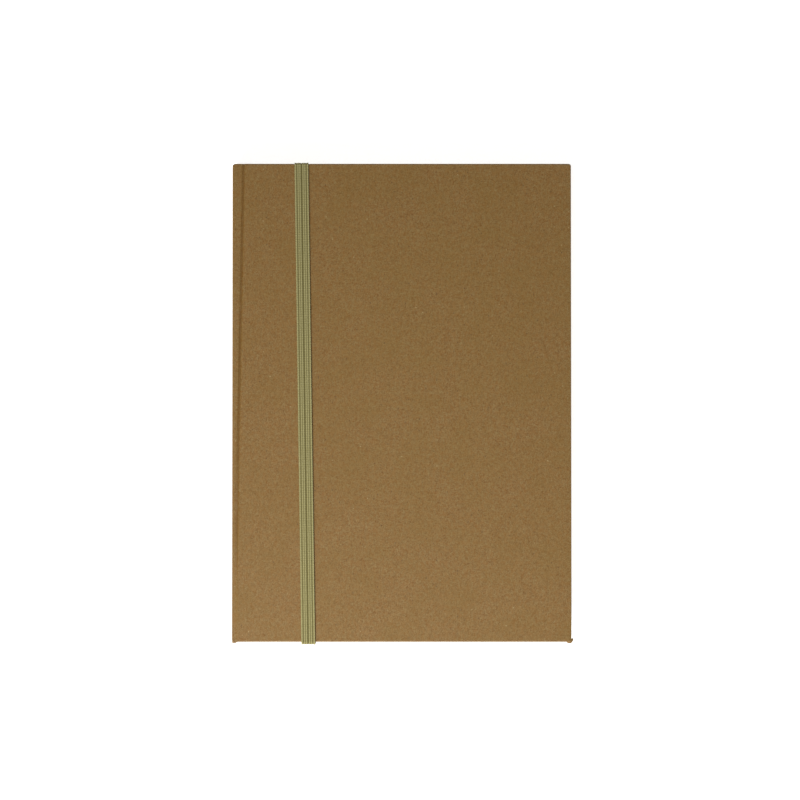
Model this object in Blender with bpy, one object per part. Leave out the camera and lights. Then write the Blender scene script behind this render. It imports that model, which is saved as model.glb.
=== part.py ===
"""Pocket notebook: a case-bound book block with a paper-wrapped hard cover and an elastic closure band.

It lies on its back cover, with the spine at -X and the head of the page at +Y. The origin is the centre of
its footprint. Sizes are in millimetres until MM turns them into metres. Along X, pieces are placed by u, the
distance from the outer edge of the spine.
"""

import bmesh
import bpy
from mathutils import Matrix, Vector

MM = 0.001

# Driving dimensions
CASE_WIDTH = 108.5
CASE_HEIGHT = 153.0
CASE_THICKNESS = 13.6
LEAF_HEIGHT = 148.0
LEAF_END_U = 105.9
PAPER = 0.2
BOARD = 1.35
PASTEDOWN = 0.1
FLYLEAF = 0.15
GLUE_GAP = 0.05
MOVING_GAP = 0.3
THREAD_GAP = 0.08
BAND_WIDTH = 4.25
BAND_THICKNESS = 0.8

# Cover, as depths below its outer face
BOARD_DEPTH = PAPER + GLUE_GAP
TURN_IN_DEPTH = BOARD_DEPTH + BOARD + GLUE_GAP
PASTEDOWN_DEPTH = TURN_IN_DEPTH + PAPER + GLUE_GAP
COVER_DEPTH = PASTEDOWN_DEPTH + PASTEDOWN
TURN_IN_WIDTH = 13.0
PASTEDOWN_INSET = 2.0
PASTEDOWN_START_U = 4.8
COVER_CORNER_RADIUS = 0.8

# Joints: the front cover turns on its crease, and the back cover on the lower outer edge of the spine
FRONT_HINGE_U = 2.4
BOARD_START_U = 4.4
BACK_HINGE_U = -0.15
BACK_HINGE_Z = COVER_DEPTH / 2

# Spine, as distances from its outer face
SPINE_DROP = 0.5
SPINE_BOARD = 1.0
SPINE_BOARD_INSET = 0.2
LINING = 0.15
LINING_U = PAPER + GLUE_GAP + SPINE_BOARD + GLUE_GAP
MULL_U = LINING_U + LINING + GLUE_GAP
THREAD_RADIUS = 0.12
THREAD_U = MULL_U + LINING + THREAD_RADIUS + THREAD_GAP
BLOCK_START_U = THREAD_U + THREAD_RADIUS + THREAD_GAP
LINING_INSET_Y = 2.0
MULL_INSET_Y = 6.0
THREAD_INSET_Y = 14.0
SPINE_LOW_Z = COVER_DEPTH + MOVING_GAP
SPINE_HIGH_Z = CASE_THICKNESS - SPINE_DROP

# Leaves
BLOCK_LOW_Z = COVER_DEPTH + MOVING_GAP
BLOCK_HIGH_Z = CASE_THICKNESS - COVER_DEPTH - MOVING_GAP
LEAF_GROUPS = 3
LEAF_GROUP = 0.35
LEAF_HINGE_U = 6.9
LEAF_HINGE_GAP = 2.0
LEAF_START_U = LEAF_HINGE_U + LEAF_HINGE_GAP
FOLD_ROUNDING = 0.45
WHOLE_SECTIONS = 5
THREAD_STATIONS = 6

# Elastic: its middle, as a distance from the spine edge, leans away from the spine towards the tail
BAND_HEAD_U = 22.2
BAND_TAIL_U = 24.5
BAND_CLEARANCE = 0.1
BAND_END_REACH = 14.0
BAND_SLOT_DEPTH = 0.65
BAND_SLOT_MARGIN = 0.3
BAND_BEND_RADIUS = 0.8 * BAND_THICKNESS

HALF_HEIGHT = CASE_HEIGHT / 2
HALF_LEAF = LEAF_HEIGHT / 2

# How far a cutter reaches past what it cuts, and how near, in metres, counts as the same place
THROUGH = 2.0
SAME_PLACE = 1e-5


def clear_scene():
    for obj in list(bpy.data.objects):
        bpy.data.objects.remove(obj, do_unlink=True)


def make_material(name, color, roughness):
    material = bpy.data.materials.new(name)
    material.use_nodes = True
    shader = material.node_tree.nodes["Principled BSDF"]
    shader.inputs["Base Color"].default_value = (*color, 1.0)
    shader.inputs["Roughness"].default_value = roughness
    shader.inputs["Metallic"].default_value = 0.0
    return material


def to_world(u, y, z):
    """The point in metres, from its distance to the spine edge, its place along the spine and its height."""
    return Vector((u - CASE_WIDTH / 2, y, z)) * MM


def make_axis(name, u, z):
    """An empty on a joint's axis, which the joint's moving pieces hang from."""
    axis = bpy.data.objects.new(name, None)
    axis.location = to_world(u, 0.0, z)
    bpy.context.collection.objects.link(axis)
    return axis


def add_mesh(name, mesh_builder, material, axis=None):
    """Turn a bmesh in world coordinates into an object, which rides on the axis where one is given."""
    bmesh.ops.recalc_face_normals(mesh_builder, faces=mesh_builder.faces)
    mesh = bpy.data.meshes.new(name)
    mesh_builder.to_mesh(mesh)
    mesh_builder.free()
    obj = bpy.data.objects.new(name, mesh)
    if material is not None:
        mesh.materials.append(material)
    bpy.context.collection.objects.link(obj)
    if axis is not None:
        obj.parent = axis
        obj.matrix_parent_inverse = Matrix.Translation(-axis.location)
    return obj


def box_bmesh(u_range, y_range, z_range):
    low = to_world(u_range[0], y_range[0], z_range[0])
    high = to_world(u_range[1], y_range[1], z_range[1])
    builder = bmesh.new()
    bmesh.ops.create_cube(builder, size=1.0)
    size = high - low
    place = Matrix.Translation((low + high) / 2) @ Matrix.Diagonal((*size, 1.0))
    bmesh.ops.transform(builder, matrix=place, verts=builder.verts)
    return builder


def add_box(name, u_range, y_range, z_range, material, axis=None):
    return add_mesh(name, box_bmesh(u_range, y_range, z_range), material, axis)


def round_edges(builder, is_wanted, radius, segments=3):
    """Round each edge whose two ends both pass the test, which is given a point in metres."""
    edges = [edge for edge in builder.edges if all(is_wanted(vert.co) for vert in edge.verts)]
    bmesh.ops.bevel(
        builder, geom=edges, offset=radius * MM, segments=segments, profile=0.5, affect="EDGES"
    )


def rounded_plate(u_range, y_range, z_range, radius):
    """A plate with its two corners away from the spine rounded."""
    builder = box_bmesh(u_range, y_range, z_range)
    far_x = to_world(u_range[1], 0.0, 0.0).x
    corners = [
        edge
        for edge in builder.edges
        if all(abs(vert.co.x - far_x) < SAME_PLACE for vert in edge.verts)
        and abs(edge.verts[0].co.y - edge.verts[1].co.y) < SAME_PLACE
    ]
    bmesh.ops.bevel(
        builder, geom=corners, offset=radius * MM, segments=3, profile=0.5, affect="EDGES"
    )
    return builder


def cut(obj, cutter_name, u_range, y_range, z_range):
    """Take a box away from the object."""
    cutter = add_box(cutter_name, u_range, y_range, z_range, None)
    cutter.hide_render = True
    cutter.display_type = "WIRE"
    modifier = obj.modifiers.new(cutter_name, "BOOLEAN")
    modifier.operation = "DIFFERENCE"
    modifier.solver = "EXACT"
    modifier.object = cutter


def cover_z(is_front, depth_a, depth_b):
    """The heights between two depths below the outer face of the front or the back cover."""
    if is_front:
        return (CASE_THICKNESS - depth_b, CASE_THICKNESS - depth_a)
    return (depth_a, depth_b)


def band_middle_u(y):
    share = (HALF_HEIGHT - y) / CASE_HEIGHT
    return BAND_HEAD_U + (BAND_TAIL_U - BAND_HEAD_U) * share


def cut_band_slots(obj, name):
    """Room in the back cover for each end of the elastic, open at the head or tail edge."""
    half = BAND_WIDTH / 2 + BAND_SLOT_MARGIN
    for side, end in ((1, "head"), (-1, "tail")):
        middle = band_middle_u(side * HALF_HEIGHT)
        reach = HALF_HEIGHT - BAND_END_REACH - BAND_SLOT_MARGIN
        y_range = sorted((side * reach, side * (HALF_HEIGHT + THROUGH)))
        z_range = (PASTEDOWN_DEPTH - BAND_SLOT_DEPTH, PASTEDOWN_DEPTH)
        cut(obj, f"{name}_{end}_slot", (middle - half, middle + half), y_range, z_range)


def add_cover_paper(name, is_front, start_u, material, axis):
    """The wrap of one cover: outer face, three edges and the turned-in margins inside."""
    outer = cover_z(is_front, 0.0, TURN_IN_DEPTH + PAPER)
    y_range = (-HALF_HEIGHT, HALF_HEIGHT)
    plate = rounded_plate((start_u, CASE_WIDTH), y_range, outer, COVER_CORNER_RADIUS)
    obj = add_mesh(name, plate, material, axis)
    inner_y = HALF_HEIGHT - PAPER
    board_z = cover_z(is_front, PAPER, TURN_IN_DEPTH)
    board_u = (start_u - THROUGH, CASE_WIDTH - PAPER)
    cut(obj, f"{name}_board_space", board_u, (-inner_y, inner_y), board_z)
    window_y = HALF_HEIGHT - TURN_IN_WIDTH
    window_u = (start_u - THROUGH, CASE_WIDTH - TURN_IN_WIDTH)
    window_z = cover_z(is_front, TURN_IN_DEPTH - PAPER, COVER_DEPTH + THROUGH)
    cut(obj, f"{name}_window", window_u, (-window_y, window_y), window_z)
    return obj


def add_board(name, is_front, material, axis):
    inset = PAPER + GLUE_GAP
    y_range = (-HALF_HEIGHT + inset, HALF_HEIGHT - inset)
    z_range = cover_z(is_front, BOARD_DEPTH, BOARD_DEPTH + BOARD)
    plate = rounded_plate(
        (BOARD_START_U, CASE_WIDTH - inset), y_range, z_range, COVER_CORNER_RADIUS - PAPER
    )
    return add_mesh(name, plate, material, axis)


def add_pastedown(name, is_front, material, axis):
    y_half = HALF_HEIGHT - PASTEDOWN_INSET
    z_range = cover_z(is_front, PASTEDOWN_DEPTH, COVER_DEPTH)
    u_range = (PASTEDOWN_START_U, CASE_WIDTH - PASTEDOWN_INSET)
    return add_box(name, u_range, (-y_half, y_half), z_range, material, axis)


def add_cover(label, is_front, start_u, materials, axis):
    paper = add_cover_paper(f"{label}_cover_paper", is_front, start_u, materials["kraft"], axis)
    board = add_board(f"{label}_board", is_front, materials["board"], axis)
    add_pastedown(f"{label}_pastedown", is_front, materials["leaf"], axis)
    if not is_front:
        cut_band_slots(paper, "paper")
        cut_band_slots(board, "board")


def add_spine(materials):
    """The spine strip, with its paper wrapped round the board at the head, the tail and the shoulder."""
    z_range = (SPINE_LOW_Z, SPINE_HIGH_Z)
    flap_end = FRONT_HINGE_U - GLUE_GAP
    paper = add_box(
        "spine_paper", (0.0, flap_end), (-HALF_HEIGHT, HALF_HEIGHT), z_range, materials["kraft"]
    )
    inner_y = HALF_HEIGHT - PAPER
    inner_z = (SPINE_LOW_Z - THROUGH, SPINE_HIGH_Z - PAPER)
    cut(paper, "spine_space", (PAPER, flap_end + THROUGH), (-inner_y, inner_y), inner_z)
    board_y = inner_y - GLUE_GAP
    board_z = (SPINE_LOW_Z + SPINE_BOARD_INSET, SPINE_HIGH_Z - PAPER - GLUE_GAP)
    board_u = (PAPER + GLUE_GAP, PAPER + GLUE_GAP + SPINE_BOARD)
    add_box("spine_board", board_u, (-board_y, board_y), board_z, materials["board"])


def add_spine_back(materials):
    """What holds the sections together behind the spine board: lining, gauze and thread."""
    lining_y = HALF_LEAF - LINING_INSET_Y
    mull_y = HALF_LEAF - MULL_INSET_Y
    z_range = (BLOCK_LOW_Z + SPINE_BOARD_INSET, BLOCK_HIGH_Z - SPINE_BOARD_INSET)
    lining_u = (LINING_U, LINING_U + LINING)
    mull_u = (MULL_U, MULL_U + LINING)
    add_box("spine_lining", lining_u, (-lining_y, lining_y), z_range, materials["board"])
    add_box("mull", mull_u, (-mull_y, mull_y), z_range, materials["gauze"])
    add_thread(materials["thread"])


def add_thread(material):
    """One thread that climbs and drops across the folds of the sections, station by station."""
    low = BLOCK_LOW_Z + SPINE_BOARD_INSET + THREAD_RADIUS
    high = BLOCK_HIGH_Z - SPINE_BOARD_INSET - THREAD_RADIUS
    reach = HALF_LEAF - THREAD_INSET_Y
    points = []
    for station in range(THREAD_STATIONS):
        y = -reach + 2.0 * reach * station / (THREAD_STATIONS - 1)
        heights = (low, high) if station % 2 == 0 else (high, low)
        points += [to_world(THREAD_U, y, height) for height in heights]
    curve = bpy.data.curves.new("sewing_thread", "CURVE")
    curve.dimensions = "3D"
    spline = curve.splines.new("POLY")
    spline.points.add(len(points) - 1)
    for spline_point, point in zip(spline.points, points):
        spline_point.co = (*point, 1.0)
    curve.bevel_depth = THREAD_RADIUS * MM
    curve.bevel_resolution = 1
    curve.use_fill_caps = True
    curve.materials.append(material)
    bpy.context.collection.objects.link(bpy.data.objects.new("sewing_thread", curve))


def add_section(name, z_range, material):
    """A sewn section: a thick pad of leaves with its folds rounded along the spine."""
    builder = box_bmesh((BLOCK_START_U, LEAF_END_U), (-HALF_LEAF, HALF_LEAF), z_range)
    spine_x = to_world(BLOCK_START_U, 0.0, 0.0).x
    fold_radius = FOLD_ROUNDING * (z_range[1] - z_range[0])
    folds = [
        edge
        for edge in builder.edges
        if all(abs(vert.co.x - spine_x) < SAME_PLACE for vert in edge.verts)
        and abs(edge.verts[0].co.z - edge.verts[1].co.z) < SAME_PLACE
    ]
    bmesh.ops.bevel(
        builder, geom=folds, offset=fold_radius * MM, segments=4, profile=0.5, affect="EDGES"
    )
    return add_mesh(name, builder, material)


def turning_heights():
    """The heights of the leaves that turn, from the top down: the flyleaf, then each group of leaves."""
    heights = [(BLOCK_HIGH_Z - FLYLEAF, BLOCK_HIGH_Z)]
    for _ in range(LEAF_GROUPS):
        top = heights[-1][0] - GLUE_GAP
        heights.append((top - LEAF_GROUP, top))
    return heights


def add_leaves(materials):
    heights = turning_heights()
    leaf_y = (-HALF_LEAF, HALF_LEAF)
    names = ["front_flyleaf"] + [f"leaf_group_{count + 1}" for count in range(LEAF_GROUPS)]
    for name, z_range in zip(names, heights):
        axis = make_axis(f"{name}_axis", LEAF_HINGE_U, sum(z_range) / 2)
        add_box(name, (LEAF_START_U, LEAF_END_U), leaf_y, z_range, materials["leaf"], axis)
    stub_z = (heights[-1][0], BLOCK_HIGH_Z)
    stub_u = (BLOCK_START_U, LEAF_HINGE_U - MOVING_GAP)
    add_box("section_1_bound_edge", stub_u, leaf_y, stub_z, materials["leaf"])
    flyleaf_z = (BLOCK_LOW_Z, BLOCK_LOW_Z + FLYLEAF)
    add_box("back_flyleaf", (BLOCK_START_U, LEAF_END_U), leaf_y, flyleaf_z, materials["leaf"])
    low = flyleaf_z[1] + GLUE_GAP
    pitch = (stub_z[0] - low) / WHOLE_SECTIONS
    for count in range(WHOLE_SECTIONS):
        bottom = low + pitch * count
        name = f"section_{WHOLE_SECTIONS + 1 - count}"
        add_section(name, (bottom, bottom + pitch - GLUE_GAP), materials["leaf"])


def add_band(material, axis):
    """The moving part of the elastic: down one edge, across the front cover and down the other edge."""
    inner_z = CASE_THICKNESS + BAND_CLEARANCE
    outer_z = inner_z + BAND_THICKNESS
    inner_y = HALF_HEIGHT + BAND_CLEARANCE
    outer_y = inner_y + BAND_THICKNESS
    low_z = PASTEDOWN_DEPTH - BAND_SLOT_DEPTH
    profile = [
        (outer_y, low_z),
        (outer_y, outer_z),
        (-outer_y, outer_z),
        (-outer_y, low_z),
        (-inner_y, low_z),
        (-inner_y, inner_z),
        (inner_y, inner_z),
        (inner_y, low_z),
    ]
    builder = bmesh.new()
    verts = [builder.verts.new(to_world(band_middle_u(y) - BAND_WIDTH / 2, y, z)) for y, z in profile]
    face = builder.faces.new(verts)
    grown = bmesh.ops.extrude_face_region(builder, geom=[face])["geom"]
    moved = [item for item in grown if isinstance(item, bmesh.types.BMVert)]
    bmesh.ops.translate(builder, vec=(BAND_WIDTH * MM, 0.0, 0.0), verts=moved)
    top = outer_z * MM - SAME_PLACE
    edge = outer_y * MM - SAME_PLACE
    round_edges(builder, lambda co: co.z > top and co.y > edge, BAND_BEND_RADIUS)
    round_edges(builder, lambda co: co.z > top and co.y < -edge, BAND_BEND_RADIUS)
    return add_mesh("elastic_band", builder, material, axis)


def add_band_ends(material, axis):
    """The two ends of the elastic, glued into the back cover under its pastedown."""
    z_range = (PASTEDOWN_DEPTH - BAND_SLOT_DEPTH + GLUE_GAP, PASTEDOWN_DEPTH - GLUE_GAP)
    for side, end in ((1, "head"), (-1, "tail")):
        middle = band_middle_u(side * HALF_HEIGHT)
        u_range = (middle - BAND_WIDTH / 2, middle + BAND_WIDTH / 2)
        y_far = HALF_HEIGHT + BAND_CLEARANCE - MOVING_GAP
        y_range = sorted((side * (HALF_HEIGHT - BAND_END_REACH), side * y_far))
        add_box(f"elastic_end_{end}", u_range, y_range, z_range, material, axis)


def build():
    clear_scene()
    materials = {
        "kraft": make_material("kraft paper", (0.25, 0.145, 0.055), 0.85),
        "board": make_material("grey board", (0.36, 0.34, 0.31), 0.9),
        "leaf": make_material("leaf paper", (0.69, 0.645, 0.535), 0.85),
        "gauze": make_material("gauze", (0.75, 0.72, 0.65), 0.9),
        "thread": make_material("thread", (0.85, 0.83, 0.78), 0.7),
        "elastic": make_material("sage elastic", (0.31, 0.275, 0.115), 0.8),
    }
    front_axis = make_axis("front_cover_axis", FRONT_HINGE_U, CASE_THICKNESS)
    back_axis = make_axis("back_cover_axis", BACK_HINGE_U, BACK_HINGE_Z)
    front_start = FRONT_HINGE_U + GLUE_GAP
    add_cover("front", True, front_start, materials, front_axis)
    add_cover("back", False, 0.0, materials, back_axis)
    add_spine(materials)
    add_spine_back(materials)
    add_leaves(materials)
    add_band(materials["elastic"], back_axis)
    add_band_ends(materials["elastic"], back_axis)


build()
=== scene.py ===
"""Pocket notebook with an elastic closure: the visual pieces around its CAD nodes.

The kraft wrap, the end papers, the leaves and the elastic are built as sheets; in the notebook these are
the parts that bend at the joints.
Places are measured from the boxes of the CAD nodes. Lengths are in metres, with MM for small sizes.
"""

import math
import random

import bmesh
import bpy
import numpy as np
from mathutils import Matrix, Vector, noise


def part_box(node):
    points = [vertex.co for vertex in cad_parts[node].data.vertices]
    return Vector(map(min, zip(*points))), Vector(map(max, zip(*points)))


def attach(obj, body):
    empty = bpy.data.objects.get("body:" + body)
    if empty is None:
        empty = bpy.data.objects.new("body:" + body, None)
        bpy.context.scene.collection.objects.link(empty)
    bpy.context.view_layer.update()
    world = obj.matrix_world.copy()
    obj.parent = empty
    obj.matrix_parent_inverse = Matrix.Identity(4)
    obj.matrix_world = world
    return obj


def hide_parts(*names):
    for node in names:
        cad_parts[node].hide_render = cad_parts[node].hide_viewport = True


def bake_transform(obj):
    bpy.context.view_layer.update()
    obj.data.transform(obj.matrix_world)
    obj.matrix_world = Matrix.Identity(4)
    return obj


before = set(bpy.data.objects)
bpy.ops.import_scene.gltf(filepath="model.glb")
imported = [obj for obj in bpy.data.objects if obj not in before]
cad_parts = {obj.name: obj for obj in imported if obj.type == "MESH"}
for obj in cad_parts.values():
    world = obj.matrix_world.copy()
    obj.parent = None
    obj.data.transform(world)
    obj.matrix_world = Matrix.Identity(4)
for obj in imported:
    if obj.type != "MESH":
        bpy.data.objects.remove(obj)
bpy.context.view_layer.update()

MM = 0.001
SEED = 11

# Places of the CAD nodes
FRONT_LOW, FRONT_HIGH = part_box("front_cover_paper")
SPINE_LOW, SPINE_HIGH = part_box("spine_paper")
SPINE_BOARD_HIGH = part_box("spine_board")[1]
BOARD_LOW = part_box("front_board")[0]
BAND_LOW, BAND_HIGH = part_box("elastic_band")
LEAF_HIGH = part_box("front_flyleaf")[1]
BLOCK_LOW, BLOCK_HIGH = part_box("section_1_bound_edge")
SPINE_X = SPINE_LOW.x
FORE_X = FRONT_HIGH.x
TOP_Z = FRONT_HIGH.z
HALF_Y = FRONT_HIGH.y
COVER = FRONT_HIGH.z - FRONT_LOW.z
WALL = SPINE_BOARD_HIGH.x - SPINE_X + 0.1 * MM

# Paper wrap
JOINT_PAPER = 0.25 * MM
SHOULDER_RISE = 0.22 * MM
SHOULDER_Z = SPINE_HIGH.z + SHOULDER_RISE
SEAM_Z = 3.0 * MM
EDGE_ROUND = 0.35 * MM
THIN_EDGE_ROUND = 0.08 * MM
FORE_EDGE_RADIUS = 0.42 * MM
SPINE_TOP_RADIUS = 0.8 * MM
SPINE_FOOT_RADIUS = 0.6 * MM
CREASE_HEAD = 3.6 * MM
CREASE_TAIL = 1.05 * MM
CREASE_DEPTH = 0.34 * MM
CREASE_HALF_WIDTH = 0.34 * MM
CREASE_BOW = 0.08 * MM
CREASE_WANDER = 0.12 * MM
CREASE_RISE_WIDTH = 1.1 * MM
FOLD_LENGTH = 2.0 * MM
FOLD_HALF_WIDTH = 0.22 * MM
FOLD_DEPTH = 0.08 * MM
COVER_WAVINESS = 0.035 * MM
CORNER_RADIUS = 0.75 * MM
SPINE_CORNER_REACH = 1.3 * MM
FORE_CORNER_REACH = 3.0 * MM
BAND_DENT = 0.18 * MM
BAND_DENT_LENGTH = 1.6 * MM
JOINT_END_X = BOARD_LOW.x - 0.2 * MM
EAR_TOP = 0.3 * MM
EAR_DEPTH = 1.1 * MM

# Sheets
TURN_IN = 13.0 * MM
BOARD_BORDER = 2.0 * MM
WINDOW_SINK = 0.09 * MM
PASTEDOWN_THICK = 0.08 * MM
PASTEDOWN_WAVINESS = 0.015 * MM
FLYLEAF_THICK = 0.12 * MM
JOINT_SHEET_THICK = 0.06 * MM
EDGE_MARK_WIDTH = 0.6 * MM
LEAF_GROUPS = 3
LEAVES_PER_GROUP = 4
LEAF_PITCH_SHARE = 0.86
SECTIONS = range(2, 7)
SHEETS_PER_SECTION = 7
FOLDED_PITCH_SHARE = 0.82
TRIM_PAST = 0.03

# Elastic: where its ribs stand across the band, from 0 to 1, and the narrow webs between the inner ones.
# How high they stand also sets the painted shade in the grooves
BAND_CAD_WIDTH = 4.25 * MM
BAND_WIDTH = 4.45 * MM
BAND_THICK = 0.8 * MM
HEAD_THICK = 0.45 * MM
HEAD_THIN_LENGTH = 5.0 * MM
KNIT_PITCH = 0.75 * MM
STITCH_HEIGHT = 0.045 * MM
BAND_WOBBLE = 0.03 * MM
BAND_COLUMNS = 42
RIB_CENTERS = (0.06, 0.25, 0.393, 0.607, 0.75, 0.94)
RIB_WIDTHS = (0.065, 0.052, 0.052, 0.052, 0.052, 0.065)
WEB_CENTERS = (0.32, 0.68)
WEB_WIDTH = 0.05
WEB_HEIGHT = 0.26

# Colours
KRAFT_DARK = (0.145, 0.054, 0.0, 1)
KRAFT_PALE = (0.275, 0.178, 0.062, 1)
KRAFT_WARM = (0.255, 0.103, 0.010, 1)
KRAFT_CLOUD = (0.192, 0.108, 0.014, 1)
KRAFT_DARK_SPECK = (0.085, 0.040, 0.010, 1)
KRAFT_PALE_SPECK = (0.48, 0.36, 0.17, 1)
# Painted shade along the crease and the short fold at the spine's head
KRAFT_CREASE_SHADE = (0.12, 0.045, 0.006, 1)
KRAFT_RUBBED = (0.44, 0.33, 0.19, 1)
LEAF_PALE = (0.69, 0.645, 0.535, 1)
LEAF_DARK = (0.62, 0.575, 0.465, 1)
END_PAPER_PALE = (0.62, 0.57, 0.455, 1)
END_PAPER_DARK = (0.55, 0.50, 0.39, 1)
CUT_EDGE = (0.52, 0.44, 0.31, 1)
BOARD_DARK = (0.25, 0.235, 0.21, 1)
BOARD_PALE = (0.42, 0.40, 0.37, 1)
BOARD_FLECK = (0.09, 0.08, 0.07, 1)
THREAD_DARK = (0.6, 0.57, 0.5, 1)
THREAD_PALE = (0.85, 0.83, 0.76, 1)
GAUZE_DARK = (0.45, 0.42, 0.36, 1)
GAUZE_PALE = (0.85, 0.82, 0.74, 1)
ELASTIC_DARK = (0.35, 0.305, 0.122, 1)
ELASTIC_PALE = (0.45, 0.40, 0.19, 1)
# Painted shade in the grooves between the elastic's ribs
ELASTIC_GROOVE_SHADE = (0.092, 0.072, 0.012, 1)
ELASTIC_STITCH = (0.14, 0.118, 0.04, 1)
FLOOR_DARK = (0.93, 0.93, 0.93, 1)
FLOOR_PALE = (0.95, 0.95, 0.95, 1)
WHITE = (1.0, 1.0, 1.0, 1.0)


# ---------------------------------------------------------------- node helpers


class Shader:
    """A material's node tree, with short calls for the nodes that are used here."""

    def __init__(self, name, follows_rest):
        self.material = bpy.data.materials.new(name)
        self.material.use_nodes = True
        self.tree = self.material.node_tree
        self.surface = self.tree.nodes["Principled BSDF"]
        self.place = self.millimetres(follows_rest)

    def node(self, kind, **settings):
        made = self.tree.nodes.new(kind)
        for name, value in settings.items():
            setattr(made, name, value)
        return made

    def link(self, source, target):
        self.tree.links.new(source, target)

    def fill(self, socket, value):
        """Set a socket to a number, or link it where the value is another socket."""
        if isinstance(value, bpy.types.NodeSocket):
            self.link(value, socket)
        else:
            socket.default_value = value

    def millimetres(self, follows_rest):
        """Coordinates in millimetres, which stay with the surface when it bends."""
        if follows_rest:
            source = self.node("ShaderNodeAttribute", attribute_name="rest_place").outputs["Vector"]
        else:
            source = self.node("ShaderNodeTexCoord").outputs["Object"]
        scale = self.node("ShaderNodeVectorMath", operation="SCALE")
        self.link(source, scale.inputs[0])
        scale.inputs["Scale"].default_value = 1.0 / MM
        return scale.outputs[0]

    def stretched(self, x, y, z):
        mapping = self.node("ShaderNodeMapping")
        mapping.inputs["Scale"].default_value = (x, y, z)
        self.link(self.place, mapping.inputs["Vector"])
        return mapping.outputs[0]

    def noise(self, scale, detail=3.0, roughness=0.55, distortion=0.0, place=None):
        made = self.node("ShaderNodeTexNoise")
        self.link(place or self.place, made.inputs["Vector"])
        made.inputs["Scale"].default_value = scale
        made.inputs["Detail"].default_value = detail
        made.inputs["Roughness"].default_value = roughness
        made.inputs["Distortion"].default_value = distortion
        return made.outputs["Fac"]

    def attribute(self, name):
        return self.node("ShaderNodeAttribute", attribute_name=name).outputs["Fac"]

    def math(self, operation, first, second=0.0, clamp=False):
        made = self.node("ShaderNodeMath", operation=operation, use_clamp=clamp)
        self.fill(made.inputs[0], first)
        self.fill(made.inputs[1], second)
        return made.outputs[0]

    def ramp(self, value, low, high, start=0.0, end=1.0):
        """Turn low..high into start..end, held at both ends."""
        made = self.node("ShaderNodeMapRange", clamp=True)
        self.fill(made.inputs["Value"], value)
        for name, number in (("From Min", low), ("From Max", high), ("To Min", start), ("To Max", end)):
            made.inputs[name].default_value = number
        return made.outputs["Result"]

    def mix(self, factor, first, second):
        made = self.node("ShaderNodeMix", data_type="RGBA")
        self.fill(made.inputs["Factor"], factor)
        self.fill(made.inputs["A"], first)
        self.fill(made.inputs["B"], second)
        return made.outputs["Result"]

    def specks(self, scale, size, chance, place=None):
        """1 inside small scattered dots, 0 elsewhere."""
        cells = self.node("ShaderNodeTexVoronoi")
        cells.inputs["Scale"].default_value = scale
        self.link(place or self.place, cells.inputs["Vector"])
        picked = self.ramp(self.channel(cells.outputs["Color"]), chance, chance * 0.8)
        dot = self.ramp(cells.outputs["Distance"], size, size * 0.55)
        return self.math("MULTIPLY", picked, dot)

    def channel(self, color):
        made = self.node("ShaderNodeSeparateColor")
        self.link(color, made.inputs[0])
        return made.outputs[0]

    def bump(self, height, distance, strength=1.0):
        made = self.node("ShaderNodeBump")
        made.inputs["Strength"].default_value = strength
        made.inputs["Distance"].default_value = distance
        self.link(height, made.inputs["Height"])
        self.link(made.outputs[0], self.surface.inputs["Normal"])

    def finish(self, color, roughness, specular=0.3):
        self.fill(self.surface.inputs["Base Color"], color)
        self.fill(self.surface.inputs["Roughness"], roughness)
        self.surface.inputs["Specular IOR Level"].default_value = specular
        return self.material


# ---------------------------------------------------------------- materials


def kraft_material(name):
    """Brown recycled paper: crossed fibres, cloudy patches, dark and pale specks, rubbed edges and painted
    shade along the crease.
    """
    sh = Shader(name, True)
    long_way = sh.stretched(1.6, 0.75, 1.2)
    cross_way = sh.stretched(0.75, 1.5, 1.2)
    along = sh.noise(1.5, detail=4.0, roughness=0.6, distortion=0.6, place=long_way)
    across = sh.noise(1.3, detail=4.0, roughness=0.6, distortion=0.8, place=cross_way)
    fine = sh.noise(3.4, detail=2.0, roughness=0.5)
    fibres = sh.math("ADD", sh.math("MULTIPLY", along, 0.55), sh.math("MULTIPLY", across, 0.45))
    tone = sh.math("ADD", sh.math("MULTIPLY", fibres, 0.6), sh.math("MULTIPLY", fine, 0.4))
    color = sh.mix(sh.ramp(tone, 0.37, 0.63), KRAFT_DARK, KRAFT_PALE)
    color = kraft_patches(sh, color)
    color = kraft_crease_shade_and_wear(sh, color, along, fine)
    sh.bump(tone, 0.07 * MM, strength=0.9)
    return sh.finish(color, sh.ramp(tone, 0.35, 0.65, 0.64, 0.54), specular=0.4)


def kraft_patches(sh, color):
    """Warm and cloudy patches, and scattered dark and pale specks."""
    wide = sh.stretched(1.0, 0.7, 1.0)
    hue = sh.noise(1.1, detail=2.0, roughness=0.5, distortion=0.5, place=wide)
    color = sh.mix(sh.ramp(hue, 0.4, 0.62, 0.0, 0.3), color, KRAFT_WARM)
    cloud = sh.noise(0.09, detail=5.0, roughness=0.62)
    color = sh.mix(sh.ramp(cloud, 0.35, 0.65, 0.0, 0.3), color, KRAFT_CLOUD)
    dark = sh.specks(0.9, size=0.2, chance=0.16, place=wide)
    color = sh.mix(sh.math("MULTIPLY", dark, 0.6), color, KRAFT_DARK_SPECK)
    pale = sh.specks(0.45, size=0.095, chance=0.14)
    return sh.mix(sh.math("MULTIPLY", pale, 0.6), color, KRAFT_PALE_SPECK)


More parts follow.
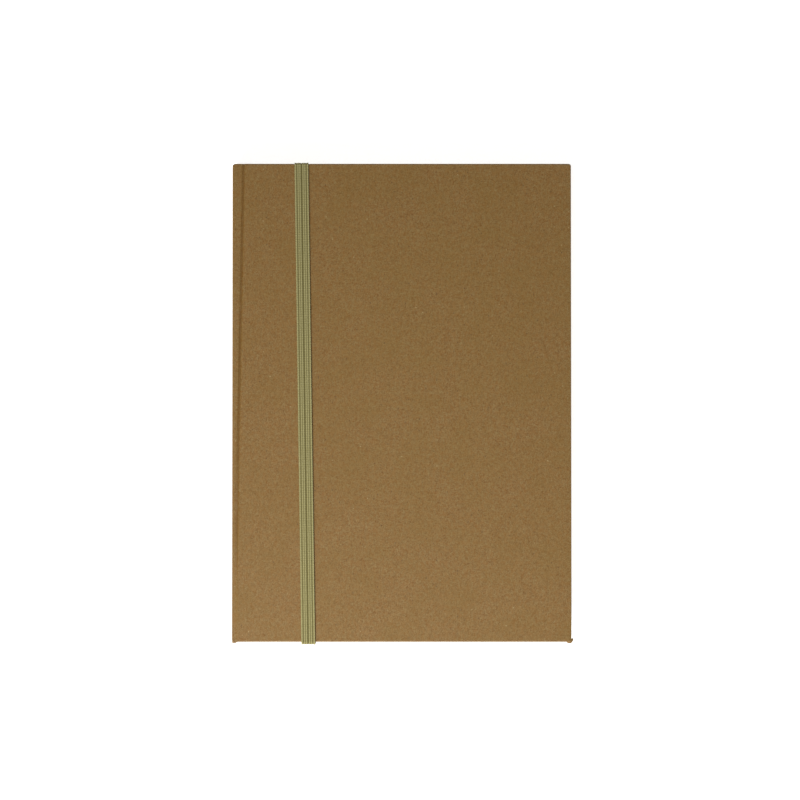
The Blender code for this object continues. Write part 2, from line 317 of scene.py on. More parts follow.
def kraft_crease_shade_and_wear(sh, color, along, fine):
    """Painted shade along the crease and the short fold at the spine's head, and paler paper where the
    edges are rubbed.
    """
    # Painted shade: the crease mark darkens the paper along the crease, unevenly with the fibres
    crease = sh.math("MULTIPLY", sh.attribute("crease"), sh.ramp(along, 0.3, 0.6, 0.6, 1.0))
    color = sh.mix(sh.math("MULTIPLY", crease, 0.55), color, KRAFT_CREASE_SHADE)
    rubbed = sh.math("MULTIPLY", sh.attribute("wear"), sh.ramp(fine, 0.4, 0.62))
    return sh.mix(sh.math("MULTIPLY", rubbed, 0.3), color, KRAFT_RUBBED)


def paper_material(name, pale, dark):
    """Uncoated writing paper: faint fibres and cloudiness, with the leaves' cut edges a little darker."""
    sh = Shader(name, True)
    long_way = sh.stretched(1.8, 0.6, 1.0)
    fibres = sh.noise(2.2, detail=4.0, roughness=0.6, distortion=0.7, place=long_way)
    cloud = sh.noise(0.2, detail=4.0, roughness=0.6)
    shade = sh.math("ADD", sh.math("MULTIPLY", fibres, 0.75), sh.math("MULTIPLY", cloud, 0.25))
    color = sh.mix(sh.ramp(shade, 0.34, 0.66), pale, dark)
    color = sh.mix(sh.math("MULTIPLY", sh.attribute("wear"), 0.35), color, CUT_EDGE)
    sh.bump(fibres, 0.02 * MM, strength=0.6)
    return sh.finish(color, sh.ramp(shade, 0.35, 0.65, 0.9, 0.8), specular=0.25)


def board_material():
    """Grey board made of recycled pulp, with coarse dark flecks."""
    sh = Shader("grey board", False)
    pulp = sh.noise(2.0, detail=5.0, roughness=0.7)
    color = sh.mix(sh.ramp(pulp, 0.35, 0.65), BOARD_DARK, BOARD_PALE)
    flecks = sh.specks(1.4, size=0.3, chance=0.25)
    color = sh.mix(sh.math("MULTIPLY", flecks, 0.5), color, BOARD_FLECK)
    sh.bump(pulp, 0.08 * MM)
    return sh.finish(color, sh.ramp(pulp, 0.3, 0.7, 0.95, 0.85), specular=0.2)


def weave_material(name, pitch, dark, pale):
    """Plain weave: threads over and under each other. A wave of the weave is pitch millimetres long."""
    sh = Shader(name, False)
    parts = sh.node("ShaderNodeSeparateXYZ")
    sh.link(sh.place, parts.inputs[0])
    rate = 2.0 * math.pi / pitch
    warp = sh.math("SINE", sh.math("MULTIPLY", parts.outputs["Z"], rate))
    weft = sh.math("SINE", sh.math("MULTIPLY", parts.outputs["Y"], rate))
    height = sh.math("MULTIPLY", warp, weft)
    fuzz = sh.noise(4.0, detail=3.0)
    color = sh.mix(sh.ramp(height, -1.0, 1.0), dark, pale)
    sh.bump(sh.math("ADD", height, sh.math("MULTIPLY", fuzz, 0.4)), 0.05 * MM)
    return sh.finish(color, sh.ramp(fuzz, 0.3, 0.7, 0.95, 0.8), specular=0.2)


def elastic_material(name, follows_rest=True):
    """Sage braided elastic: pale ribs, painted shade in the grooves between them and short stitches along
    each rib.
    """
    sh = Shader(name, follows_rest)
    parts = sh.node("ShaderNodeSeparateXYZ")
    sh.link(sh.place, parts.inputs[0])
    long_way = sh.stretched(1.6, 0.7, 1.6)
    fuzz = sh.noise(2.8, detail=4.0, roughness=0.6, distortion=0.4, place=long_way)
    stitch_rate = 2.0 * math.pi * MM / KNIT_PITCH
    stitch = sh.math("SINE", sh.math("MULTIPLY", parts.outputs["Y"], stitch_rate))
    color = sh.mix(sh.ramp(fuzz, 0.35, 0.65), ELASTIC_DARK, ELASTIC_PALE)
    if follows_rest:
        # Painted shade in the grooves between the ribs, and half of it on the inner face
        groove = sh.math("SUBTRACT", 1.0, sh.attribute("rib"), clamp=True)
        color = sh.mix(sh.math("MULTIPLY", groove, 0.95), color, ELASTIC_GROOVE_SHADE)
    color = sh.mix(sh.ramp(stitch, -1.0, 1.0, 0.16, 0.0), color, ELASTIC_STITCH)
    sh.bump(sh.math("ADD", fuzz, sh.math("MULTIPLY", stitch, 0.25)), 0.06 * MM)
    made = sh.finish(color, sh.ramp(fuzz, 0.3, 0.7, 0.9, 0.76), specular=0.25)
    sh.surface.inputs["Sheen Weight"].default_value = 0.15
    sh.surface.inputs["Sheen Roughness"].default_value = 0.5
    return made


def floor_material():
    """A matt white floor that glows a little, so that hardly any shadow shows round the notebook."""
    sh = Shader("pale floor", False)
    grain = sh.noise(0.02, detail=2.0)
    color = sh.mix(sh.ramp(grain, 0.3, 0.7), FLOOR_DARK, FLOOR_PALE)
    sh.surface.inputs["Emission Color"].default_value = WHITE
    sh.surface.inputs["Emission Strength"].default_value = 0.8
    return sh.finish(color, 0.9, specular=0.1)


# ---------------------------------------------------------------- mesh helpers


def to_object(name, builder, material, smooth_angle=40.0, marks=None):
    """Turn a bmesh into a piece. marks holds a number per vertex for each named attribute."""
    bmesh.ops.recalc_face_normals(builder, faces=builder.faces)
    mesh = bpy.data.meshes.new(name)
    builder.to_mesh(mesh)
    builder.free()
    mesh.materials.append(material)
    places = np.empty(len(mesh.vertices) * 3, np.float32)
    mesh.vertices.foreach_get("co", places)
    mesh.attributes.new("rest_place", "FLOAT_VECTOR", "POINT").data.foreach_set("vector", places)
    for label, values in (marks or {}).items():
        layer = mesh.attributes.new(label, "FLOAT", "POINT")
        layer.data.foreach_set("value", np.asarray(values, np.float32))
    mesh.set_sharp_from_angle(angle=math.radians(smooth_angle))
    obj = bpy.data.objects.new(name, mesh)
    bpy.context.collection.objects.link(obj)
    return obj


def loft_sides(rings):
    """The side faces through rings of points, all with the same count, and the rows of their vertices."""
    builder = bmesh.new()
    rows = [[builder.verts.new(point) for point in ring] for ring in rings]
    count = len(rows[0])
    for here, after in zip(rows, rows[1:]):
        for index in range(count):
            follow = (index + 1) % count
            face = builder.faces.new((here[index], here[follow], after[follow], after[index]))
            face.smooth = True
    return builder, rows


def loft(rings):
    """A closed body through rings of points, with each end filled across its outline."""
    builder, rows = loft_sides(rings)
    ends = [builder.faces.new(list(reversed(rows[0]))), builder.faces.new(rows[-1])]
    bmesh.ops.triangulate(builder, faces=ends, ngon_method="EAR_CLIP")
    return builder


def ribbon_loft(rings):
    """As loft, for outlines that run out along one side of a thin ribbon and back along the other."""
    builder, rows = loft_sides(rings)
    for row in (rows[0], rows[-1]):
        last = len(row) - 1
        for index in range(len(row) // 2 - 1):
            builder.faces.new((row[index], row[index + 1], row[last - index - 1], row[last - index]))
    return builder


def arc(center, radius, start, end, steps):
    """Points of an arc in the XZ plane, angles in degrees from +X towards +Z."""
    points = []
    for index in range(steps + 1):
        angle = math.radians(start + (end - start) * index / steps)
        points.append((center[0] + radius * math.cos(angle), center[1] + radius * math.sin(angle)))
    return points


def run(start, end, steps):
    """Evenly spaced points from start up to, but without, end."""
    points = []
    for index in range(steps):
        points.append(tuple(a + (b - a) * index / steps for a, b in zip(start, end)))
    return points


def path_normals(points):
    """Unit normals of a path in a plane, each a quarter turn anticlockwise from the path's direction."""
    tangent = np.gradient(points, axis=0)
    tangent /= np.linalg.norm(tangent, axis=1)[:, None]
    return np.stack([-tangent[:, 1], tangent[:, 0]], axis=1)


def inset_ring(outline, amount, limits):
    """The outline moved inwards along its own normals, each point by no more than its limit."""
    points = np.array(outline)
    ahead = np.roll(points, -1, axis=0) - points
    behind = points - np.roll(points, 1, axis=0)
    ahead /= np.linalg.norm(ahead, axis=1)[:, None] + 1e-12
    behind /= np.linalg.norm(behind, axis=1)[:, None] + 1e-12
    tangent = ahead + behind
    tangent /= np.linalg.norm(tangent, axis=1)[:, None] + 1e-12
    following = np.roll(points, -1, axis=0)
    area = 0.5 * np.sum(points[:, 0] * following[:, 1] - following[:, 0] * points[:, 1])
    normal = np.stack([-tangent[:, 1], tangent[:, 0]], axis=1) * (1.0 if area > 0 else -1.0)
    return points + normal * np.minimum(amount, limits)[:, None]


def quarter_inset(distance, radius):
    """How far a rounded edge of this radius draws in, at this distance from the edge's end."""
    if distance >= radius:
        return 0.0
    return radius - math.sqrt(radius * radius - (radius - distance) ** 2)


def end_distances(middle_steps):
    """Distances from one end to the other, close together where the ends are rounded."""
    near = [0.0, 0.02, 0.06, 0.13, 0.22, 0.35, 0.5, 0.75, 1.0, 1.3, 1.6, 2.0, 2.5, 3.2]
    length = 2.0 * HALF_Y
    low = [distance * MM for distance in near]
    high = [length - distance for distance in reversed(low)]
    return low + spaced(low[-1], high[0], middle_steps)[1:-1] + high


def spaced(start, end, steps):
    return [start + (end - start) * index / steps for index in range(steps + 1)]


# ---------------------------------------------------------------- kraft wrap


def crease_x(y):
    """The crease leans towards the spine as it runs from the head to the tail."""
    share = (HALF_Y - y) / (2.0 * HALF_Y)
    straight = CREASE_HEAD + (CREASE_TAIL - CREASE_HEAD) * share
    wander = CREASE_WANDER * noise.noise(Vector((0.0, y * 40.0, 5.0)))
    return SPINE_X + straight - CREASE_BOW * math.sin(math.pi * share) + wander


def crease_dip(x, y):
    """How far the crease sinks the cover's face here. It fades towards the tail."""
    away = (x - crease_x(y)) / CREASE_HALF_WIDTH
    fade = 0.65 + 0.35 * min(1.0, (y + HALF_Y) / HALF_Y)
    return CREASE_DEPTH * fade * math.exp(-away * away)


def corner_fold(x, y):
    """1 along the short slanting fold where the wrap is tucked in at the head of the spine."""
    along = (HALF_Y - y) / FOLD_LENGTH
    middle = SPINE_X + (2.1 - 0.9 * along) * MM
    fade = max(0.0, 1.0 - max(0.0, along - 0.2) ** 2)
    return fade * math.exp(-(((x - middle) / FOLD_HALF_WIDTH) ** 2))


def front_height(x, y):
    """The outer face of the front, from the shoulder at the spine, over the crease, to the flat cover."""
    rise = min(1.0, max(0.0, (x - crease_x(y)) / CREASE_RISE_WIDTH + 0.25))
    rise = rise * rise * (3.0 - 2.0 * rise)
    height = SHOULDER_Z + (TOP_Z - SHOULDER_Z) * rise
    waviness = COVER_WAVINESS * noise.noise(Vector((x * 26.0, y * 26.0, 0.0)))
    return height - crease_dip(x, y) - FOLD_DEPTH * corner_fold(x, y) + waviness


def cover_xs(start, end):
    """Places across a cover, close together under the elastic so that its edge can be dented there."""
    left = BAND_LOW.x - 1.2 * MM
    right = BAND_HIGH.x + 1.2 * MM
    return spaced(start, left, 8)[:-1] + spaced(left, right, 27)[:-1] + spaced(right, end, 26)[:-1]


def cover_edge(outer_z, inner_z):
    """The rounded fore-edge of a covered board, as pairs of an outer and an inner point."""
    side = 1.0 if outer_z > inner_z else -1.0
    radius = FORE_EDGE_RADIUS
    pairs = []
    for step in range(5):
        angle = math.radians(90.0 - 22.5 * step)
        x = FORE_X - radius + radius * math.cos(angle)
        drop = side * radius * (1.0 - math.sin(angle))
        pairs.append(((x, outer_z - drop), (x, inner_z + drop)))
    return pairs


def front_inner_height(x, under):
    """The inner face of the front: thin paper over the joint, then the full depth of the covered board."""
    step = min(1.0, max(0.0, (x - JOINT_END_X) / (0.25 * MM) + 0.5))
    return under + (TOP_Z - COVER - under) * step


def front_outline(y):
    """The closed section of the front wrap, with the spine wall, the joint and the covered board."""
    radius = SPINE_TOP_RADIUS
    under = SHOULDER_Z - JOINT_PAPER - CREASE_DEPTH
    corner_z = SHOULDER_Z - radius
    pairs = [((SPINE_X, z), (SPINE_X + WALL, z)) for z in spaced(SEAM_Z, corner_z - 0.2 * MM, 6)]
    outer = arc((SPINE_X + radius, corner_z), radius, 180.0, 90.0, 6)
    inner = arc((SPINE_X + WALL + 0.2 * MM, under - 0.2 * MM), 0.2 * MM, 180.0, 90.0, 6)
    pairs += [((x, z - 0.6 * crease_dip(x, y)), place) for (x, z), place in zip(outer, inner)]
    start = SPINE_X + WALL + 0.3 * MM
    joint_end = SPINE_X + 6.0 * MM
    for x in spaced(start, joint_end, 34)[:-1] + cover_xs(joint_end, FORE_X - 0.5 * MM):
        pairs.append(((x, front_height(x, y)), (x, front_inner_height(x, under))))
    pairs += cover_edge(TOP_Z, TOP_Z - COVER)
    return [pair[0] for pair in pairs] + [pair[1] for pair in reversed(pairs)]


def back_outline(y):
    """The closed section of the back wrap: the lower end of the spine wall and the covered back board."""
    radius = SPINE_FOOT_RADIUS
    corner = 0.1 * MM
    inner_x = SPINE_X + WALL
    pairs = [((SPINE_X, z), (inner_x, z)) for z in spaced(SEAM_Z, COVER + corner + 0.05 * MM, 7)]
    outer = [(SPINE_X, COVER - 0.3 * MM)] + arc((SPINE_X + radius, radius), radius, 180.0, 270.0, 5)
    outer += [(SPINE_X + 1.0 * MM, 0.0)]
    inner = arc((inner_x + corner, COVER + corner), corner, 180.0, 270.0, len(outer) - 1)
    pairs += list(zip(outer, inner))
    xs = cover_xs(inner_x + 0.3 * MM, FORE_X - 0.5 * MM)
    pairs += [((x, 0.0), (x, COVER)) for x in xs]
    pairs += cover_edge(0.0, COVER)
    return [pair[0] for pair in pairs] + [pair[1] for pair in reversed(pairs)]


def inset_limits(outline):
    """Thin paper draws in only a little at its ends, the board's edges in full and the seam not at all."""
    points = np.array(outline)
    board_start_x = JOINT_END_X + 3.0 * MM
    limits = np.interp(points[:, 0], (JOINT_END_X, board_start_x), (THIN_EDGE_ROUND, EDGE_ROUND))
    return np.where(np.abs(points[:, 1] - SEAM_Z) < 0.02 * MM, 0.0, limits)


def corner_shift(x, distance):
    """How far a point moves towards the middle of the cover so that the cover's corners are rounded."""
    inset = quarter_inset(distance, CORNER_RADIUS)
    from_spine = max(0.0, 1.0 - (x - SPINE_X) / SPINE_CORNER_REACH)
    from_fore = max(0.0, 1.0 - (FORE_X - x) / FORE_CORNER_REACH)
    return inset * (from_spine - from_fore)


def band_dent(x, y, distance):
    """How far the elastic presses the head edge of a cover in."""
    if y < 0:
        return 0.0
    aside = abs(x - band_middle_x(y)) - BAND_WIDTH / 2
    beside = min(1.0, max(0.0, 0.6 - aside / (0.5 * MM)))
    return BAND_DENT * beside * max(0.0, 1.0 - distance / BAND_DENT_LENGTH)


def wrap_mesh(outline_at, middle_steps):
    """A cover's wrap: its section at each place from tail to head, with the ends and corners rounded."""
    rings = []
    for along in end_distances(middle_steps):
        y = along - HALF_Y
        distance = min(along, 2.0 * HALF_Y - along)
        outline = outline_at(y)
        ring = inset_ring(outline, quarter_inset(distance, EDGE_ROUND), inset_limits(outline))
        points = []
        for x, z in ring:
            inward = math.copysign(band_dent(x, y, distance), y)
            points.append(Vector((x + corner_shift(x, distance), y - inward, z)))
        rings.append(points)
    return ribbon_loft(rings)


def wrap_marks(builder, is_front):
    """Rubbed edges and the shadow of the crease, as numbers per vertex."""
    wear, crease = [], []
    outer = TOP_Z if is_front else 0.0
    for vert in builder.verts:
        x, y, z = vert.co
        to_side = max(0.0, min(FORE_X - x, HALF_Y - abs(y)))
        wear.append(math.exp(-(((to_side + abs(z - outer)) / (0.35 * MM)) ** 2)))
        # Painted shade along the crease, weaker towards the tail, and along the short fold at the spine's
        # head
        away = (x - crease_x(y)) / (0.21 * MM)
        line = math.exp(-away * away) * (0.5 + 0.5 * min(1.0, (y + HALF_Y) / HALF_Y))
        on_top = is_front and z > SHOULDER_Z - 1.2 * MM
        crease.append(max(line, 0.7 * corner_fold(x, y)) if on_top else 0.0)
    return {"wear": wear, "crease": crease}


def add_front_wrap(material):
    builder = wrap_mesh(front_outline, 72)
    piece = to_object("front_wrap", builder, material, 35.0, wrap_marks(builder, True))
    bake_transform(piece)
    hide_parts("front_cover_paper", "spine_paper")


def add_back_wrap(material):
    builder = wrap_mesh(back_outline, 36)
    piece = to_object("back_wrap", builder, material, 35.0, wrap_marks(builder, False))
    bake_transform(piece)
    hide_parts("back_cover_paper")


def ear_rings(corner_x, outline):
    """Level sections of one ear, from its top down. The outline is in millimetres from the corner."""
    middle = Vector((sum(x for x, _ in outline), sum(y for _, y in outline))) / len(outline)
    rings = []
    for share, grow in ((0.0, 0.72), (0.12, 0.93), (0.35, 1.0), (0.65, 0.9), (0.9, 0.7), (1.0, 0.5)):
        height = TOP_Z - (EAR_TOP + EAR_DEPTH * share)
        ring = []
        for x, y in outline:
            px, py = middle + (Vector((x, y)) - middle) * grow
            ring.append(Vector((corner_x + px * MM, -HALF_Y + py * MM, height)))
        rings.append(ring)
    return rings


def add_corner_ears(material):
    """The wrap's turned-in corners, which stand a little proud of the front cover at its tail."""
    fore = (
        (-1.7, 0.2), (-1.3, -0.42), (-0.35, -0.52), (0.2, -0.15), (0.68, 0.8), (0.5, 1.3), (-0.2, 1.0)
    )
    spine = ((0.1, 0.6), (0.02, -0.22), (0.5, -0.42), (1.3, -0.34), (2.0, 0.0), (1.2, 0.5))
    rows = (
        ("fore_corner_ear", FORE_X, fore, "front_cover"),
        ("spine_corner_ear", SPINE_X, spine, "book_block"),
    )
    for name, corner_x, outline, body in rows:
        builder = loft(ear_rings(corner_x, outline))
        # The ears are paler where rubbed and carry a little painted crease shade
        marks = {"wear": [0.8] * len(builder.verts), "crease": [0.15] * len(builder.verts)}
        piece = to_object(name, builder, material, 50.0, marks)
        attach(piece, body)


# ---------------------------------------------------------------- sheets


def thin_sheet(xs, ys, height_at, thickness):
    """A closed thin sheet over a grid, with its middle at the given height."""
    builder = bmesh.new()
    layers = []
    for side in (-0.5, 0.5):
        rows = []
        for x in xs:
            column = [(x, y, height_at(x, y) + side * thickness) for y in ys]
            rows.append([builder.verts.new(place) for place in column])
        layers.append(rows)
    low, high = layers
    for i in range(len(xs) - 1):
        for j in range(len(ys) - 1):
            for layer in (low, high):
                corners = (layer[i][j], layer[i + 1][j], layer[i + 1][j + 1], layer[i][j + 1])
                builder.faces.new(corners).smooth = True
    rim = [(i, 0) for i in range(len(xs))] + [(len(xs) - 1, j) for j in range(1, len(ys))]
    rim += [(i, len(ys) - 1) for i in range(len(xs) - 2, -1, -1)]
    rim += [(0, j) for j in range(len(ys) - 2, 0, -1)]
    for (a, b), (c, d) in zip(rim, rim[1:] + rim[:1]):
        builder.faces.new((low[a][b], low[c][d], high[c][d], high[a][b]))
    return builder


def edge_marks(builder, low, high):
    """1 at the cut edges of a sheet, falling to 0 a little way in from them."""
    wear = []
    for vert in builder.verts:
        inside = min(high.x - vert.co.x, vert.co.y - low.y, high.y - vert.co.y)
        wear.append(max(0.0, 1.0 - max(0.0, inside) / EDGE_MARK_WIDTH))
    return {"wear": wear}


def add_pastedown(name, node, body, is_front, material):
    """End paper glued inside a cover. The turned-in margins under it show as a shallow step."""
    low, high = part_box(node)
    margin = TURN_IN - BOARD_BORDER
    sink = WINDOW_SINK * (1.0 if is_front else -1.0)
    step_x = high.x - margin
    step_y = high.y - margin
    xs = spaced(low.x, step_x - 1.0 * MM, 20) + spaced(step_x + 0.4 * MM, high.x, 5)
    inner = step_y - 0.6 * MM
    outer = inner + 1.2 * MM
    ys = spaced(low.y, -outer, 5) + spaced(-inner, inner, 24) + spaced(outer, high.y, 5)
    middle = (low.z + high.z) / 2

    def height(x, y):
        in_window = x < step_x and abs(y) < step_y
        wave = PASTEDOWN_WAVINESS * noise.noise(Vector((x * 60.0, y * 60.0, 9.0)))
        return middle + (sink if in_window else 0.0) + wave

    builder = thin_sheet(xs, ys, height, PASTEDOWN_THICK)
    piece = to_object(name, builder, material, 30.0, edge_marks(builder, low, high))
    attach(piece, body)
    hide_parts(node)


def trimmed(place, chance, most_short):
    """A cut edge, up to most_short short of its place or TRIM_PAST past it, both in millimetres."""
    return place + chance.uniform(-most_short, TRIM_PAST) * MM


def add_turning_leaves(node, count, seed, material):
    """The leaves that turn as one group, each whole from the spine to the fore-edge."""
    low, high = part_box(node)
    chance = random.Random(seed)
    pitch = (high.z - low.z) / count
    hinge_x = BLOCK_HIGH.x + 0.3 * MM
    for index in range(count):
        middle = low.z + pitch * (index + 0.5)
        end = trimmed(high.x, chance, 0.05)
        half = trimmed(high.y, chance, 0.05)
        xs = [BLOCK_LOW.x, BLOCK_LOW.x + 2.4 * MM] + spaced(hinge_x, hinge_x + 5.0 * MM, 12)
        xs += spaced(hinge_x + 9.0 * MM, end, 10)
        ys = spaced(-half, half, 8)
        builder = thin_sheet(xs, ys, lambda x, y: middle, pitch * LEAF_PITCH_SHARE)
        marks = edge_marks(builder, Vector((0, -half, 0)), Vector((end, half, 0)))
        label = node if count == 1 else f"{node}_leaf_{index + 1}"
        piece = to_object(f"{label}_sheet", builder, material, 30.0, marks)
        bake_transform(piece)
        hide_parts(node, *(("section_1_bound_edge",) if node == "leaf_group_1" else ()))


def folded_sheet_outline(middle, half, end, spine_x, thickness):
    """One sheet folded at the spine, as a closed outline in the XZ plane."""
    outer = half + thickness / 2
    inner = max(half - thickness / 2, 0.004 * MM)
    fold_x = spine_x + outer
    points = [(end, middle + outer)]
    points += arc((fold_x, middle), outer, 90.0, 270.0, 6)
    points += [(end, middle - outer), (end, middle - inner)]
    points += arc((fold_x, middle), inner, 270.0, 90.0, 6)
    points.append((end, middle + inner))
    return points


def add_section(node, seed, material):
    """A sewn section of folded sheets, one inside another, with the small steps that trimming leaves."""
    low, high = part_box(node)
    chance = random.Random(seed)
    middle = (low.z + high.z) / 2
    pitch = (high.z - low.z) / (2 * SHEETS_PER_SECTION)
    joined = bmesh.new()
    for index in range(SHEETS_PER_SECTION):
        half = pitch * (index + 0.5)
        end = trimmed(high.x, chance, 0.07)
        reach = trimmed(high.y, chance, 0.05)
        outline = folded_sheet_outline(middle, half, end, low.x, pitch * FOLDED_PITCH_SHARE)
        rings = [[Vector((x, y, z)) for x, z in outline] for y in spaced(-reach, reach, 4)]
        sheet = ribbon_loft(rings)
        scratch = bpy.data.meshes.new("scratch")
        sheet.to_mesh(scratch)
        sheet.free()
        joined.from_mesh(scratch)
        bpy.data.meshes.remove(scratch)
    piece = to_object(f"{node}_sheets", joined, material, 30.0, edge_marks(joined, low, high))
    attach(piece, "book_block")
    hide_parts(node)


def add_back_flyleaf(material):
    low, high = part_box("back_flyleaf")
    middle = (low.z + high.z) / 2
    xs = spaced(low.x, high.x, 24)
    ys = spaced(low.y, high.y, 16)
    builder = thin_sheet(xs, ys, lambda x, y: middle, FLYLEAF_THICK)
    piece = to_object("back_flyleaf_sheet", builder, material, 30.0, edge_marks(builder, low, high))
    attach(piece, "book_block")
    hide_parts("back_flyleaf")


def add_joint_paper(name, block_z, cover_z, material):
    """The end paper where it folds from the block onto a cover, inside the joint."""
    fold_x = BLOCK_LOW.x + 0.45 * MM
    radius = abs(cover_z - block_z) / 2
    middle = (cover_z + block_z) / 2
    side = 1.0 if cover_z > block_z else -1.0
    path = run((fold_x + 4.0 * MM, block_z), (fold_x, block_z), 6)
    turn = arc((fold_x, middle), radius, -90.0, -270.0, 12)
    path += [(x, middle + (z - middle) * side) for x, z in turn]
    path += run((fold_x + 0.6 * MM, cover_z), (fold_x + 5.5 * MM, cover_z), 6)
    half = LEAF_HIGH.y
    points = np.array(path)
    normal = path_normals(points) * JOINT_SHEET_THICK / 2
    outline = np.concatenate([points + normal, (points - normal)[::-1]])
    rings = [[Vector((x, y, z)) for x, z in outline] for y in spaced(-half, half, 24)]
    builder = ribbon_loft(rings)
    marks = {"wear": [0.0] * len(builder.verts)}
    piece = to_object(name, builder, material, 60.0, marks)
    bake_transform(piece)


def add_joint_papers(material):
    block_gap = 0.05 * MM
    cover_gap = 0.06 * MM
    front_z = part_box("front_pastedown")[0].z - cover_gap
    back_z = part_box("back_pastedown")[1].z + cover_gap
    block_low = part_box("back_flyleaf")[0].z - block_gap
    add_joint_paper("front_joint_paper", LEAF_HIGH.z + block_gap, front_z, material)
    add_joint_paper("back_joint_paper", block_low, back_z, material)


# ---------------------------------------------------------------- elastic


def band_middle_x(y):
    """The band leans away from the spine towards the tail, as its CAD solid does."""
    lean = (BAND_HIGH.x - BAND_LOW.x - BAND_CAD_WIDTH) / (BAND_HIGH.y - BAND_LOW.y)
    return BAND_LOW.x + BAND_CAD_WIDTH / 2 - 0.05 * MM + lean * (BAND_HIGH.y - y)


def band_end(side):
    """One end of the band in the YZ plane, from inside the back cover up to the start of the front run."""
    is_head = side > 0
    thick = HEAD_THICK if is_head else BAND_THICK
    clear = -BAND_DENT + 0.02 * MM if is_head else 0.1 * MM
    out = HALF_Y + clear + thick / 2
    base = BAND_HIGH.z - BAND_THICK / 2
    radius = (0.5 if is_head else 0.62) * MM
    enter_z = BAND_LOW.z + 0.3 * MM
    points = [(HALF_Y - 1.5 * MM, enter_z), (out - 0.5 * MM, enter_z)]
    points += [(out - 0.12 * MM, enter_z + 0.12 * MM), (out, enter_z + 0.6 * MM)]
    points += run((out, enter_z + 1.2 * MM), (out, base - radius), 26)
    points += arc((out - radius, base - radius), radius, 0.0, 90.0, 8)
    return [(side * y, z) for y, z in points]


def band_path():
    """The middle of the band: out of the back cover, up, across the front and down to the back cover."""
    head, tail = band_end(1), band_end(-1)
    steps = int((head[-1][0] - tail[-1][0]) / (KNIT_PITCH / 2))
    return head + run(head[-1], tail[-1], steps)[1:] + tail[::-1]


def band_thickness(y, z):
    """The band is pulled thin where it turns over the head edge."""
    if y < 0:
        return BAND_THICK
    from_bend = (HALF_Y - y) / HEAD_THIN_LENGTH if z > TOP_Z else 0.0
    return HEAD_THICK + (BAND_THICK - HEAD_THICK) * min(1.0, max(0.0, from_bend))


def bell(place, center, width):
    """1 at the center, falling off smoothly on both sides."""
    return math.exp(-(((place - center) / width) ** 2))


def rib_height(share):
    """0 in a groove to 1 on a rib, for a place from 0 to 1 across the band."""
    ribs = [bell(share, center, width) for center, width in zip(RIB_CENTERS, RIB_WIDTHS)]
    webs = [WEB_HEIGHT * bell(share, center, WEB_WIDTH) for center in WEB_CENTERS]
    return max(ribs + webs)


def band_section(columns):
    """Points round the band's section: (place across, side) with side 1 on the outer face."""
    outer = [(index / columns, 1.0) for index in range(columns + 1)]
    inner = [(index / columns, -1.0) for index in range(columns, -1, -2)]
    return outer + inner


def band_ring(index, place, normal):
    """The band's section at one place of its path, and how much of a rib each point is."""
    y, z = place
    ny, nz = normal
    middle = band_middle_x(y)
    thickness = band_thickness(y, z)
    ring, ribs = [], []
    for share, side in band_section(BAND_COLUMNS):
        rib = rib_height(share)
        stitch = STITCH_HEIGHT * rib * (1.0 if index % 2 else -1.0)
        wobble = BAND_WOBBLE * noise.noise(Vector((share * 9.0, y * 900.0, side)))
        top = thickness * (0.2 + 0.3 * rib) + stitch + wobble
        offset = top if side > 0 else -thickness * 0.42
        across = (share - 0.5) * BAND_WIDTH
        ring.append(Vector((middle + across, y + ny * offset, z + nz * offset)))
        # The rib mask sets the painted groove shade; the inner face is given half a rib
        ribs.append(rib if side > 0 else 0.5)
    return ring, ribs


def add_elastic(material):
    path = np.array(band_path())
    normals = path_normals(path)
    normals *= 1.0 if normals[len(path) // 2, 1] > 0 else -1.0
    rings, ribs = [], []
    for index, (place, normal) in enumerate(zip(path, normals)):
        ring, ring_ribs = band_ring(index, place, normal)
        rings.append(ring)
        ribs += ring_ribs
    builder = loft(rings)
    piece = to_object("elastic_strap", builder, material, 70.0, {"rib": ribs})
    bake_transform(piece)
    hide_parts("elastic_band")


# ---------------------------------------------------------------- CAD nodes that stay


def dress_cad_nodes(board, elastic, thread, gauze):
    """Give the CAD nodes that stay in the visual model their materials."""
    finishes = {
        "front_board": board,
        "back_board": board,
        "spine_board": board,
        "spine_lining": board,
        "mull": gauze,
        "sewing_thread": thread,
        "elastic_end_head": elastic,
        "elastic_end_tail": elastic,
    }
    for name, material in finishes.items():
        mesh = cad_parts[name].data
        mesh.materials.clear()
        mesh.materials.append(material)


# ---------------------------------------------------------------- stage


def add_floor():
    half_size = 3.0
    gap = 0.02 * MM
    builder = bmesh.new()
    bmesh.ops.create_grid(builder, x_segments=8, y_segments=8, size=half_size)
    mesh = bpy.data.meshes.new("floor")
    builder.to_mesh(mesh)
    builder.free()
    mesh.materials.append(floor_material())
    floor = bpy.data.objects.new("floor", mesh)
    floor.location.z = -gap
    bpy.context.collection.objects.link(floor)


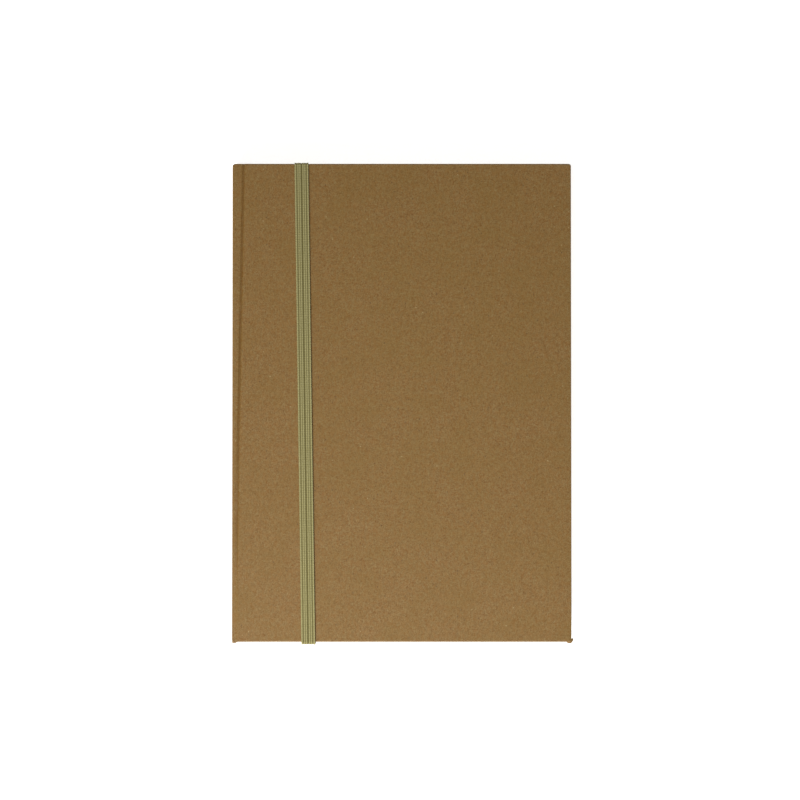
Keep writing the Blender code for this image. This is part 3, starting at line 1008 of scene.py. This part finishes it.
def add_camera():
    """A long lens above the notebook, leaning a little towards its tail."""
    frame_width = 0.2558
    distance = 1.2
    lean = math.radians(1.7)
    target = Vector((-0.00053, 0.00077, TOP_Z))
    camera = bpy.data.cameras.new("camera")
    camera.sensor_width = 36.0
    camera.lens = camera.sensor_width * distance / frame_width
    view = bpy.data.objects.new("camera", camera)
    view.location = target + Vector((0.0, -math.sin(lean), math.cos(lean))) * distance
    view.rotation_euler = (lean, 0.0, 0.0)
    bpy.context.collection.objects.link(view)
    bpy.context.scene.camera = view


def add_area_light(name, place, target, size, watts, color):
    lamp = bpy.data.lights.new(name, "AREA")
    lamp.shape = "DISK"
    lamp.size = size
    lamp.energy = watts
    lamp.color = color
    obj = bpy.data.objects.new(name, lamp)
    obj.location = place
    obj.rotation_euler = (Vector(target) - Vector(place)).to_track_quat("-Z", "Y").to_euler()
    obj.visible_camera = False
    bpy.context.collection.objects.link(obj)


def add_lights():
    world = bpy.data.worlds.new("studio")
    world.use_nodes = True
    background = world.node_tree.nodes["Background"]
    background.inputs["Color"].default_value = WHITE
    background.inputs["Strength"].default_value = 0.23
    bpy.context.scene.world = world
    place = (-0.17, -0.40, 0.50)
    target = (0.0, -0.05, 0.0)
    add_area_light("key", place, target, size=0.32, watts=5.2, color=(0.97, 0.99, 1.0))
    bpy.context.scene.view_settings.view_transform = "Standard"


# ---------------------------------------------------------------- assembly


def main():
    kraft = kraft_material("kraft paper")
    leaf = paper_material("leaf paper", LEAF_PALE, LEAF_DARK)
    end_paper = paper_material("end paper", END_PAPER_PALE, END_PAPER_DARK)
    thread = weave_material("waxed thread", 0.3, THREAD_DARK, THREAD_PALE)
    gauze = weave_material("gauze", 0.8, GAUZE_DARK, GAUZE_PALE)
    dress_cad_nodes(board_material(), elastic_material("elastic end", False), thread, gauze)

    add_front_wrap(kraft)
    add_back_wrap(kraft)
    add_corner_ears(kraft)
    add_pastedown("front_end_paper", "front_pastedown", "front_cover", True, end_paper)
    add_pastedown("back_end_paper", "back_pastedown", "back_cover", False, end_paper)
    add_turning_leaves("front_flyleaf", 1, SEED, end_paper)
    for group in range(1, LEAF_GROUPS + 1):
        add_turning_leaves(f"leaf_group_{group}", LEAVES_PER_GROUP, SEED + group, leaf)
    for section in SECTIONS:
        add_section(f"section_{section}", SEED * section, leaf)
    add_back_flyleaf(end_paper)
    add_joint_papers(end_paper)
    add_elastic(elastic_material("elastic"))

    add_floor()
    add_camera()
    add_lights()


main()
